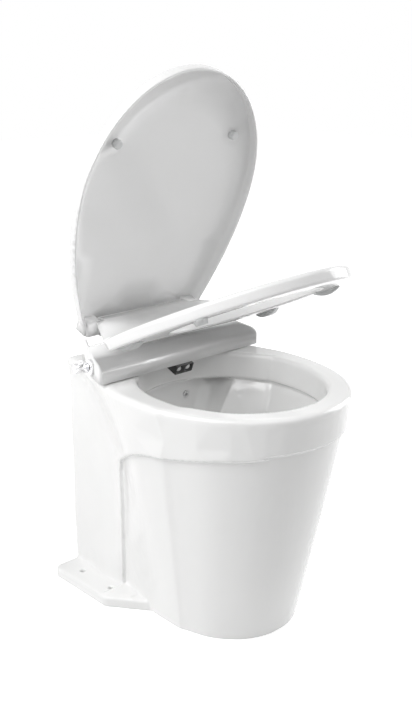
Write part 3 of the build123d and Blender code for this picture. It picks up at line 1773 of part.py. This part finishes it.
def terminal_box():
    """Small box on the motor with a cable gland to the rear."""
    low_z = box_low_z()
    top_z = low_z + box_height
    box = slab((-box_half_x, box_front_y, pump_z), (box_half_x, box_rear_y, top_z))
    box -= rod(pump_point(box_front_y - overrun), backward, box_rear_y - box_front_y + 2 * overrun,
               box_saddle())
    box = box & slab((-box_half_x, box_front_y, low_z - 2 * box_wall),
                     (box_half_x, box_rear_y, top_z))
    room = slab((-box_half_x + box_wall, box_front_y + box_wall, low_z + box_wall),
                (box_half_x - box_wall, box_rear_y - box_wall, top_z - box_wall))
    gland_z = low_z + box_height / 2
    gland = rod((0, box_rear_y, gland_z), backward, gland_length, gland_radius)
    box = box - room + gland
    box -= rod((0, box_rear_y - 2 * box_wall, gland_z), backward,
               gland_length + 2 * box_wall + overrun, gland_bore)
    return box - rod((box_half_x / 2, box_front_y + box_half_x, top_z - 2 * box_wall), upward,
                     3 * box_wall, lead_radius + bolt_clearance)


def motor_leads():
    """Sheathed pair of wires from the terminal box up to the rinse valve's coil."""
    top_z = box_low_z() + box_height
    start = Vector(box_half_x / 2, box_front_y + box_half_x, top_z - lead_socket)
    coil_z = (valve_block_top_z + coil_top_z) / 2
    end = Vector(rinse_x - coil_radius, rinse_y, coil_z)
    points = [
        start,
        Vector(start.X, start.Y, mix(start.Z, end.Z, 0.45)),
        Vector(-box_half_x, rinse_y, mix(start.Z, end.Z, 0.75)),
        Vector(-box_half_x / 2, rinse_y, end.Z),
        end,
    ]
    return tube_along(points, lead_bend / 2, lead_radius, lead_radius / 2)


parts = {
    "china_body": china_body,
    "seat_base": seat_base,
    "base_tray": base_tray,
    "base_pads": base_pads,
    "mounting_plate": mounting_plate,
    "seat_bolts": seat_bolts,
    "seat_bolt_washers": seat_bolt_washers,
    "seat_wing_nuts": seat_wing_nuts,
    "seat_damper_body": lambda: damper_body(-1),
    "lid_damper_body": lambda: damper_body(1),
    "seat_damper_shaft": lambda: damper_shaft(-1),
    "lid_damper_shaft": lambda: damper_shaft(1),
    "seat_ring": seat_ring,
    "seat_bumpers": seat_bumpers,
    "lid": lid,
    "lid_bumpers": lid_bumpers,
    "nozzle_guide": nozzle_guide,
    "rear_nozzle": lambda: nozzle(-1),
    "front_nozzle": lambda: nozzle(1),
    "rear_nozzle_spring": lambda: nozzle_spring(-1),
    "front_nozzle_spring": lambda: nozzle_spring(1),
    "valve_body": valve_body,
    "valve_escutcheon": valve_escutcheon,
    "valve_lever": valve_lever,
    "valve_cartridge": valve_cartridge,
    "nozzle_hoses": nozzle_hoses,
    "supply_hose": supply_hose,
    "bowl_outlet_gasket": bowl_outlet_gasket,
    "chopper_housing": chopper_housing,
    "pump_bolts": pump_bolts,
    "pump_nuts": pump_nuts,
    "wear_plate": wear_plate,
    "chopper_blade": chopper_blade,
    "impeller": impeller,
    "pump_back_plate": pump_back_plate,
    "shaft_seal": shaft_seal,
    "motor_can": motor_can,
    "motor_end_cap": motor_end_cap,
    "motor_bearings": motor_bearings,
    "motor_magnets": motor_magnets,
    "motor_shaft": motor_shaft,
    "motor_armature": motor_armature,
    "motor_cradle": motor_cradle,
    "cradle_foot": cradle_foot,
    "motor_strap": motor_strap,
    "discharge_elbow": discharge_elbow,
    "joker_valve": joker_valve,
    "valve_bracket": valve_bracket,
    "solenoid_body": solenoid_body,
    "solenoid_coil": solenoid_coil,
    "solenoid_plunger": solenoid_plunger,
    "plunger_spring": plunger_spring,
    "supply_tee": supply_tee,
    "rinse_jet": rinse_jet,
    "rinse_hose": rinse_hose,
    "terminal_box": terminal_box,
    "motor_leads": motor_leads,
}

os.makedirs("parts", exist_ok=True)
for name, make in parts.items():
    export_step(make(), f"parts/{name}.step")
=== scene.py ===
import json
import math

import bmesh
import bpy
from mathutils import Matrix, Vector


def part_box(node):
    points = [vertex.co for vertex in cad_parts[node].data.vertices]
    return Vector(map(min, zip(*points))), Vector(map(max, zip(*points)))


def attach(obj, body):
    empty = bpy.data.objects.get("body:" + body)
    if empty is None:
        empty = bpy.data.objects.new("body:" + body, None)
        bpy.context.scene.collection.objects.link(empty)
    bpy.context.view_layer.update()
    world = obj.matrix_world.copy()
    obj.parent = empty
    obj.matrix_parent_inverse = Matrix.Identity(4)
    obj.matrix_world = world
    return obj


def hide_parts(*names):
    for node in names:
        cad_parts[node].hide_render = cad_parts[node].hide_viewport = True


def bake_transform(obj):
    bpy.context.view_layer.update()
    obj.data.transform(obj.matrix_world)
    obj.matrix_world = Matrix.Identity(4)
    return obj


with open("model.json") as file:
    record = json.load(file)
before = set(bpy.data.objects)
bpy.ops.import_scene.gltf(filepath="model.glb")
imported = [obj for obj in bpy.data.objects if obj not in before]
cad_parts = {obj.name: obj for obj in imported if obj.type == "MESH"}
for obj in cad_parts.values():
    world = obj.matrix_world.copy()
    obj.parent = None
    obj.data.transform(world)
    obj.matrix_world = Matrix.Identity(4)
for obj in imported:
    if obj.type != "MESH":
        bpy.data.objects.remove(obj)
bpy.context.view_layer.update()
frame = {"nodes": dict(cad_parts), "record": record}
nodes = frame["nodes"]

# The photograph's viewpoint, in metres
camera_place = Vector((-1.0395, -1.2558, 0.89035))
camera_aim = Vector((-0.0223, -0.1583, 0.43988))
camera_lens_mm = 50.8
camera_sensor_mm = 36.0
camera_reach = 50.0

# Grain of the china's soft copy in metres, and how often and how far it is smoothed
china_voxel = 0.0019
china_smoothing = 9
china_smoothing_factor = 0.5

# Points of a solid that are closer than this, in metres, are one point
joined_gap = 0.00001

# Edges that turn by more than this stay sharp
sharp_angle = math.radians(32)

# Slope of the wash nozzles, and the outer radius of their springs in metres
nozzle_slope = math.radians(22)
nozzle_spring_radius = 0.00675

# Middle part of a noise's values, which is spread over the whole of what it drives
noise_low = 0.3
noise_high = 0.7

# Lie of the grain on brushed metal
brushed_stretch = (1, 1, 14)

# How far roughness goes to either side of its level
polished_spread = 0.03
dull_spread = 0.06
brushed_spread = 0.08

# Level of the seat's, lid's and base's white
moulded_white = 0.87

# Half-size of the floor in metres, its own tone, and its tone where it is seen
floor_half_size = 8.0
floor_level = 0.85
floor_seen_level = 0.62
floor_roughness = 0.9

# The light that the floor adds where it is seen grows from the first level to the second
# between these distances from the object, in metres
floor_fade = (0.45, 1.4)
floor_glow = (0.6, 1.0)

# Half-sizes of the floor's area under the foot, which adds no light
foot_shade = (0.145, 0.052)

# Level of the even light
world_level = 0.16

# Lamps: name, place, width and height in metres, power in watts
lamps_aim = Vector((0.0, -0.1, 0.4))
lamps = (
    ("side", Vector((-2.2, 0.9, 1.7)), 1.8, 2.2, 35),
    ("top", Vector((-1.6, -0.2, 2.2)), 1.6, 1.6, 26),
    ("front", Vector((-0.2, -1.3, 2.3)), 2.0, 1.6, 12),
    ("right", Vector((2.4, -0.8, 1.2)), 1.8, 2.0, 44),
)


def grey(level):
    return (level, level, level, 1.0)


white = grey(1.0)


# Materials

class Surface:
    """A Principled surface whose colour, roughness and relief vary a little by noise."""

    def __init__(self, slot, name=None):
        self.slot = slot
        self.material = bpy.data.materials.new(name or slot)
        self.material.use_nodes = True
        self.tree = self.material.node_tree
        self.shader = self.tree.nodes["Principled BSDF"]
        self.place = self.tree.nodes.new("ShaderNodeTexCoord").outputs["Object"]

    def set(self, **values):
        """Sets plain values, each by its socket's name in small letters."""
        for key, value in values.items():
            socket = key.replace("_", " ").title().replace("Ior", "IOR")
            self.shader.inputs[socket].default_value = value

    def noise(self, scale, detail=3.0, stretch=None):
        """Noise in the object's own space, stretched along an axis for brushed metal."""
        place = self.place
        if stretch:
            mapping = self.tree.nodes.new("ShaderNodeMapping")
            mapping.inputs["Scale"].default_value = stretch
            self.tree.links.new(place, mapping.inputs["Vector"])
            place = mapping.outputs["Vector"]
        texture = self.tree.nodes.new("ShaderNodeTexNoise")
        texture.inputs["Scale"].default_value = scale
        texture.inputs["Detail"].default_value = detail
        self.tree.links.new(place, texture.inputs["Vector"])
        return texture.outputs["Fac"]

    def rough(self, source, low, high):
        """Sets the roughness between low and high by a noise."""
        spread = self.tree.nodes.new("ShaderNodeMapRange")
        spread.inputs["From Min"].default_value = noise_low
        spread.inputs["From Max"].default_value = noise_high
        spread.inputs["To Min"].default_value = low
        spread.inputs["To Max"].default_value = high
        self.tree.links.new(source, spread.inputs["Value"])
        self.tree.links.new(spread.outputs["Result"], self.shader.inputs["Roughness"])

    def tint(self, source, low, high):
        """Sets the base colour between two colours by a noise."""
        ramp = self.tree.nodes.new("ShaderNodeValToRGB")
        first, last = ramp.color_ramp.elements
        first.position, first.color = noise_low, low
        last.position, last.color = noise_high, high
        self.tree.links.new(source, ramp.inputs["Fac"])
        self.tree.links.new(ramp.outputs["Color"], self.shader.inputs["Base Color"])

    def relief(self, source, height, strength):
        """Gives the surface a fine relief of this height in metres, by a noise."""
        bump = self.tree.nodes.new("ShaderNodeBump")
        bump.inputs["Distance"].default_value = height
        bump.inputs["Strength"].default_value = strength
        self.tree.links.new(source, bump.inputs["Height"])
        self.tree.links.new(bump.outputs["Normal"], self.shader.inputs["Normal"])


def glaze():
    """White vitreous china: a clear glossy glaze with a faint orange-peel."""
    made = Surface("china", name="china_glaze")
    made.set(ior=1.5, coat_weight=0.35, coat_roughness=0.03)
    made.tint(made.noise(scale=9), low=(0.865, 0.865, 0.861, 1), high=(0.88, 0.88, 0.875, 1))
    made.rough(made.noise(scale=35), low=0.10, high=0.16)
    made.relief(made.noise(scale=70, detail=2), height=0.00012, strength=0.25)
    return made


def white_plastic(slot, level, roughness):
    """Moulded white plastic with a soft polish."""
    made = Surface(slot)
    made.set(ior=1.47, coat_weight=0.15, coat_roughness=0.06)
    made.tint(
        made.noise(scale=14),
        low=(level - 0.01, level - 0.01, level - 0.012, 1),
        high=grey(level),
    )
    made.rough(
        made.noise(scale=60), low=roughness - polished_spread, high=roughness + polished_spread
    )
    made.relief(made.noise(scale=240, detail=2), height=0.00005, strength=0.2)
    return made


def dull_plastic(slot, low, high, roughness):
    """Moulded plastic, rubber or paint with a fine grain."""
    made = Surface(slot)
    made.tint(made.noise(scale=40), low, high)
    made.rough(
        made.noise(scale=120), low=roughness - dull_spread, high=roughness + dull_spread
    )
    made.relief(made.noise(scale=900, detail=3), height=0.00008, strength=0.35)
    return made


def clear_rubber():
    """Soft translucent stops."""
    made = Surface("clear_rubber")
    made.set(ior=1.42, transmission_weight=0.2)
    made.tint(made.noise(scale=60), low=(0.76, 0.77, 0.77, 1), high=(0.84, 0.85, 0.85, 1))
    made.rough(made.noise(scale=200), low=0.28, high=0.42)
    made.relief(made.noise(scale=500, detail=2), height=0.00005, strength=0.3)
    return made


def brushed(slot, low, high, roughness):
    """Metal with a fine grain along one axis."""
    made = Surface(slot)
    made.set(metallic=1.0)
    source = made.noise(scale=260, detail=4, stretch=brushed_stretch)
    made.tint(source, low, high)
    made.rough(source, low=roughness - brushed_spread, high=roughness + brushed_spread)
    made.relief(source, height=0.00003, strength=0.3)
    return made


def chrome():
    """Polished chrome plate with a faint unevenness."""
    made = Surface("chrome")
    made.set(metallic=1.0)
    made.tint(made.noise(scale=50), low=(0.80, 0.80, 0.81, 1), high=(0.86, 0.86, 0.87, 1))
    made.rough(made.noise(scale=300), low=0.03, high=0.08)
    made.relief(made.noise(scale=90, detail=2), height=0.00003, strength=0.15)
    return made


def cast_iron(slot, low, high):
    """Cast or pressed dark metal with a coarse grain."""
    made = Surface(slot)
    made.set(metallic=0.9)
    made.tint(made.noise(scale=120), low, high)
    made.rough(made.noise(scale=300), low=0.4, high=0.6)
    made.relief(made.noise(scale=700, detail=4), height=0.0001, strength=0.4)
    return made


finishes = (
    glaze(),
    white_plastic("seat_plastic", moulded_white, roughness=0.14),
    white_plastic("lid_plastic", moulded_white, roughness=0.16),
    white_plastic("base_plastic", moulded_white, roughness=0.10),
    dull_plastic("inner_plastic", grey(0.68), grey(0.73), roughness=0.35),
    white_plastic("nozzle_plastic", 0.80, roughness=0.2),
    clear_rubber(),
    dull_plastic("dark_rubber", grey(0.02), grey(0.035), roughness=0.6),
    dull_plastic("hose_rubber", grey(0.42), grey(0.5), roughness=0.4),
    brushed("steel", grey(0.5), grey(0.62), roughness=0.3),
    chrome(),
    brushed("brass", (0.6, 0.44, 0.2, 1), (0.75, 0.58, 0.3, 1), roughness=0.3),
    dull_plastic("dark_plastic", grey(0.022), grey(0.04), roughness=0.45),
    dull_plastic("impeller_plastic", grey(0.1), grey(0.14), roughness=0.4),
    dull_plastic("motor_paint", grey(0.03), grey(0.05), roughness=0.35),
    cast_iron("magnet", grey(0.06), grey(0.12)),
    cast_iron("iron", (0.3, 0.28, 0.26, 1), (0.4, 0.38, 0.36, 1)),
    dull_plastic("coil_plastic", (0.02, 0.06, 0.2, 1), (0.03, 0.08, 0.25, 1), roughness=0.35),
    dull_plastic("lead_sheath", grey(0.03), grey(0.05), roughness=0.5),
)
surfaces = {surface.slot: surface for surface in finishes}

# The nozzle guide gets near-black plastic as painted shade, standing in for the shadow in the
# slot round the nozzles
slot_of = {row["node"]: row["material_slot"] for row in frame["record"]["subparts"]}
slot_of["nozzle_guide"] = "dark_plastic"


# Pieces

def dress(piece, node_name):
    """Gives a piece the one surface of its CAD node."""
    surface = surfaces[slot_of[node_name]]
    piece.data.materials.clear()
    piece.data.materials.append(surface.material)
    for face in piece.data.polygons:
        face.material_index = 0


def smooth_by_angle(piece):
    """Smooth shading that keeps true edges; the merge joins the faces of the solid."""
    weld = piece.modifiers.new("join", "WELD")
    weld.merge_threshold = joined_gap
    piece.data.shade_smooth()
    piece.data.set_sharp_from_angle(angle=sharp_angle)


def own_copy(name, node_name):
    """Copy of a CAD node's mesh, with the doubled points between its faces joined."""
    mesh = nodes[node_name].data.copy()
    piece = bpy.data.objects.new(name, mesh)
    bpy.context.scene.collection.objects.link(piece)
    build = bmesh.new()
    build.from_mesh(mesh)
    bmesh.ops.remove_doubles(build, verts=build.verts, dist=joined_gap)
    build.to_mesh(mesh)
    build.free()
    return piece


def soft_china():
    """Remeshed and smoothed copy of the china, with edges rounded as glaze rounds them."""
    piece = own_copy("china_soft", "china_body")
    remesh = piece.modifiers.new("remesh", "REMESH")
    remesh.mode = "VOXEL"
    remesh.voxel_size = china_voxel
    remesh.use_smooth_shade = True
    smooth = piece.modifiers.new("smooth", "SMOOTH")
    smooth.factor = china_smoothing_factor
    smooth.iterations = china_smoothing
    shape = piece.evaluated_get(bpy.context.evaluated_depsgraph_get())
    final = bpy.data.meshes.new_from_object(shape)
    piece.modifiers.clear()
    piece.data = final
    final.shade_smooth()
    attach(piece, "root")
    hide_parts("china_body")
    dress(piece, "china_body")


def pressed_spring(node_name):
    """Copy of a spring between the fixed part and a sliding piece, in place of its CAD node."""
    piece = own_copy(f"{node_name}_coil", node_name)
    piece.data.shade_smooth()
    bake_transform(piece)
    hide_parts(node_name)
    dress(piece, node_name)


def nozzle_spring(side):
    """Copy of the spring round one nozzle, as it stands in the CAD model."""
    node_name = f"{side}_nozzle_spring"
    low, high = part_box(node_name)
    half = (high.y - low.y) / 2 / math.cos(nozzle_slope)
    half -= nozzle_spring_radius * math.tan(nozzle_slope)
    pressed_spring(node_name)


def plunger_spring():
    """Copy of the spring over the valve's plunger, as it stands in the CAD model."""
    low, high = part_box("plunger_spring")
    top = (low + high) / 2
    bottom = top.copy()
    top.z = high.z
    bottom.z = low.z
    pressed_spring("plunger_spring")


for name, node in nodes.items():
    dress(node, name)
    smooth_by_angle(node)
soft_china()
nozzle_spring("front")
nozzle_spring("rear")
plunger_spring()


# Floor, light and camera

def number(tree, operation, *values):
    """Result of a sum on sockets or plain numbers, kept between 0 and 1 for an addition."""
    made = tree.nodes.new("ShaderNodeMath")
    made.operation = operation
    made.use_clamp = operation == "ADD"
    for socket, value in zip(made.inputs, values):
        if isinstance(value, float):
            socket.default_value = value
        else:
            tree.links.new(value, socket)
    return made.outputs["Value"]


def seen_ray(tree):
    """1 for a ray that shows the surface, directly, in a mirror or through glass, else 0."""
    path = tree.nodes.new("ShaderNodeLightPath")
    seen = number(tree, "ADD", path.outputs["Is Camera Ray"], path.outputs["Is Glossy Ray"])
    return number(tree, "ADD", seen, path.outputs["Is Transmission Ray"])


def tone_of_floor(tree, seen):
    """The floor's tone, which is darker where the floor's own glow adds to it."""
    tone = tree.nodes.new("ShaderNodeMix")
    tone.data_type = "RGBA"
    tree.links.new(seen, tone.inputs["Factor"])
    tone.inputs["A"].default_value = grey(floor_level)
    tone.inputs["B"].default_value = grey(floor_seen_level)
    return tone.outputs["Result"]


def rise_of_floor(tree, place):
    """The floor's glow, which grows with the distance from the object."""
    reach = tree.nodes.new("ShaderNodeVectorMath")
    reach.operation = "LENGTH"
    tree.links.new(place, reach.inputs[0])
    rise = tree.nodes.new("ShaderNodeMapRange")
    rise.interpolation_type = "SMOOTHSTEP"
    sockets = ("From Min", "From Max", "To Min", "To Max")
    for socket, value in zip(sockets, floor_fade + floor_glow):
        rise.inputs[socket].default_value = value
    tree.links.new(reach.outputs["Value"], rise.inputs["Value"])
    return rise.outputs["Result"]


def open_floor(tree, place):
    """0 under the foot, so that its floor holes stay dark, and 1 elsewhere."""
    across = tree.nodes.new("ShaderNodeSeparateXYZ")
    tree.links.new(place, across.inputs["Vector"])
    within = []
    for axis, half in zip("XY", foot_shade):
        size = number(tree, "ABSOLUTE", across.outputs[axis])
        within.append(number(tree, "LESS_THAN", size, half))
    return number(tree, "SUBTRACT", 1.0, number(tree, "MULTIPLY", *within))


def floor_material():
    material = bpy.data.materials.new("floor")
    material.use_nodes = True
    tree = material.node_tree
    shader = tree.nodes["Principled BSDF"]
    shader.inputs["Roughness"].default_value = floor_roughness
    shader.inputs["Specular IOR Level"].default_value = 0.0
    shader.inputs["Emission Color"].default_value = white
    seen = seen_ray(tree)
    tree.links.new(tone_of_floor(tree, seen), shader.inputs["Base Color"])
    place = tree.nodes.new("ShaderNodeTexCoord").outputs["Object"]
    lit = number(tree, "MULTIPLY", open_floor(tree, place), rise_of_floor(tree, place))
    glow = number(tree, "MULTIPLY", seen, lit)
    tree.links.new(glow, shader.inputs["Emission Strength"])
    return material


def plain_floor():
    """Pale floor, lifted to white where it is seen, that keeps a soft contact shadow."""
    mesh = bpy.data.meshes.new("floor")
    half = floor_half_size
    corners = [(-half, -half, 0), (half, -half, 0), (half, half, 0), (-half, half, 0)]
    mesh.from_pydata(corners, [], [(0, 1, 2, 3)])
    mesh.materials.append(floor_material())
    floor = bpy.data.objects.new("floor", mesh)
    bpy.context.scene.collection.objects.link(floor)


def backdrop(tree, level):
    made = tree.nodes.new("ShaderNodeBackground")
    made.inputs["Color"].default_value = white
    made.inputs["Strength"].default_value = level
    return made.outputs["Background"]


def plain_world():
    """Even light on the object, and plain white wherever it is seen or mirrored."""
    world = bpy.data.worlds.new("studio")
    bpy.context.scene.world = world
    world.use_nodes = True
    tree = world.node_tree
    mix = tree.nodes.new("ShaderNodeMixShader")
    tree.links.new(seen_ray(tree), mix.inputs[0])
    tree.links.new(backdrop(tree, world_level), mix.inputs[1])
    tree.links.new(backdrop(tree, 1.0), mix.inputs[2])
    tree.links.new(mix.outputs["Shader"], tree.nodes["World Output"].inputs["Surface"])


def aimed(thing, place, aim):
    """Puts a lamp or camera at a place and turns it to its aim."""
    thing.location = place
    thing.rotation_euler = (aim - place).to_track_quat("-Z", "Y").to_euler()
    bpy.context.scene.collection.objects.link(thing)


def softbox(name, place, width, height, power):
    light = bpy.data.lights.new(name, "AREA")
    light.shape = "RECTANGLE"
    light.size = width
    light.size_y = height
    light.energy = power
    aimed(bpy.data.objects.new(name, light), place, lamps_aim)


def camera():
    data = bpy.data.cameras.new("camera")
    data.lens = camera_lens_mm
    data.sensor_width = camera_sensor_mm
    data.clip_end = camera_reach
    view = bpy.data.objects.new("camera", data)
    aimed(view, camera_place, camera_aim)
    bpy.context.scene.camera = view


plain_floor()
plain_world()
for lamp in lamps:
    softbox(*lamp)
camera()
bpy.context.scene.view_settings.view_transform = "Standard"
